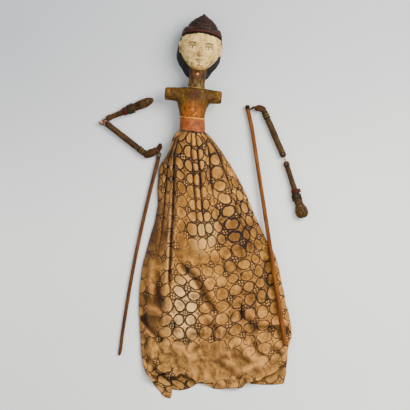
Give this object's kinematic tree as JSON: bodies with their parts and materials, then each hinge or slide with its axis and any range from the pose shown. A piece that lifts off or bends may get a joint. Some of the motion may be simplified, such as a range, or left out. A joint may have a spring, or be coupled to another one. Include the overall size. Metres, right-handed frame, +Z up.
{
  "type": "wooden rod puppet",
  "caption": "Carved wooden rod puppet with a crowned turning head on a central rod, strung jointed arms with hand rods, and a gathered printed cloth skirt.",
  "frame": {"origin": "centre of the laid-out puppet's footprint, on the surface it lies on", "axes": "+Z up from the surface, +Y towards the crown, +X to the viewer's right"},
  "size_m": [0.3246, 0.5964, 0.0624],
  "materials": {
    "head_paint": "aged oil paint on carved wood, satin",
    "peg_wood": "worn end grain",
    "rod_wood": "hand-rubbed",
    "ring_leather": "matt",
    "torso_paint": "worn gold and brown paint, satin",
    "band_leather": "painted, satin",
    "tie_cord": "twisted cotton",
    "batik_cloth": "old washed cotton",
    "arm_paint": "dark worn paint, satin",
    "thread": "twisted cotton thread",
    "arm_rod_wood": "smooth stained wood, satin"
  },
  "bodies": {
    "torso": {"torso": "torso_paint", "waist_band": "band_leather", "waist_tie": "tie_cord", "skirt": "batik_cloth"},
    "stop_ring": {"rod_stop_ring": "ring_leather"},
    "head": {"head": "head_paint", "neck_peg": "peg_wood", "central_rod": "rod_wood"},
    "left_upper_arm": {"left_upper_arm": "arm_paint"},
    "left_elbow": {"left_elbow_thread": "thread"},
    "left_forearm": {"left_forearm": "arm_paint"},
    "left_tie": {"left_rod_tie": "thread"},
    "left_rod": {"left_arm_rod": "arm_rod_wood"},
    "right_upper_arm": {"right_upper_arm": "arm_paint"},
    "right_elbow": {"right_elbow_thread": "thread"},
    "right_forearm": {"right_forearm": "arm_paint"},
    "right_tie": {"right_rod_tie": "thread"},
    "right_rod": {"right_arm_rod": "arm_rod_wood"}
  },
  "joints": [
    {"name": "head_lift", "type": "slide", "parent": "torso", "child": "stop_ring", "axis": [0.1114, 0.9929, 0.0419], "range_m": [0, 0.012]},
    {"name": "head_turn", "type": "hinge", "parent": "stop_ring", "child": "head", "pos_m": [-0.01056, 0.18196, 0.02876], "axis": [0.1114, 0.9929, 0.0419], "continuous": true},
    {"name": "left_arm_lift", "type": "slide", "parent": "torso", "child": "left_upper_arm", "axis": [0, 0, 1], "range_m": [0, 0.25]},
    {"name": "left_elbow_swing", "type": "hinge", "parent": "left_upper_arm", "child": "left_elbow", "pos_m": [-0.15549, 0.13229, 0.00646], "axis": [0, 0, 1], "range_deg": [-120, 0]},
    {"name": "left_elbow_bend", "type": "hinge", "parent": "left_elbow", "child": "left_forearm", "pos_m": [-0.15549, 0.13229, 0.00646], "axis": [-0.1874, -0.9823, 0], "range_deg": [0, 90]},
    {"name": "left_rod_swing", "type": "hinge", "parent": "left_forearm", "child": "left_tie", "pos_m": [-0.06826, 0.0781, 0.00596], "axis": [-0.6946, 0.1325, -0.7071], "range_deg": [0, 50]},
    {"name": "left_rod_lift", "type": "hinge", "parent": "left_tie", "child": "left_rod", "pos_m": [-0.06826, 0.0781, 0.00596], "axis": [-0.9823, 0.1874, 0], "range_deg": [0, 80]},
    {"name": "right_arm_lift", "type": "slide", "parent": "torso", "child": "right_upper_arm", "axis": [0, 0, 1], "range_m": [0, 0.25]},
    {"name": "right_elbow_swing", "type": "hinge", "parent": "right_upper_arm", "child": "right_elbow", "pos_m": [0.12686, 0.0723, 0.00646], "axis": [0, 0, 1], "range_deg": [0, 24]},
    {"name": "right_elbow_bend", "type": "hinge", "parent": "right_elbow", "child": "right_forearm", "pos_m": [0.12686, 0.0723, 0.00646], "axis": [-0.1426, 0.9898, 0], "range_deg": [0, 90]},
    {"name": "right_rod_swing", "type": "hinge", "parent": "right_forearm", "child": "right_tie", "pos_m": [0.06855, 0.15516, 0.00596], "axis": [-0.6999, -0.1009, -0.7071], "range_deg": [0, 50]},
    {"name": "right_rod_lift", "type": "hinge", "parent": "right_tie", "child": "right_rod", "pos_m": [0.06855, 0.15516, 0.00596], "axis": [-0.9898, -0.1426, 0], "range_deg": [0, 80]}
  ]
}
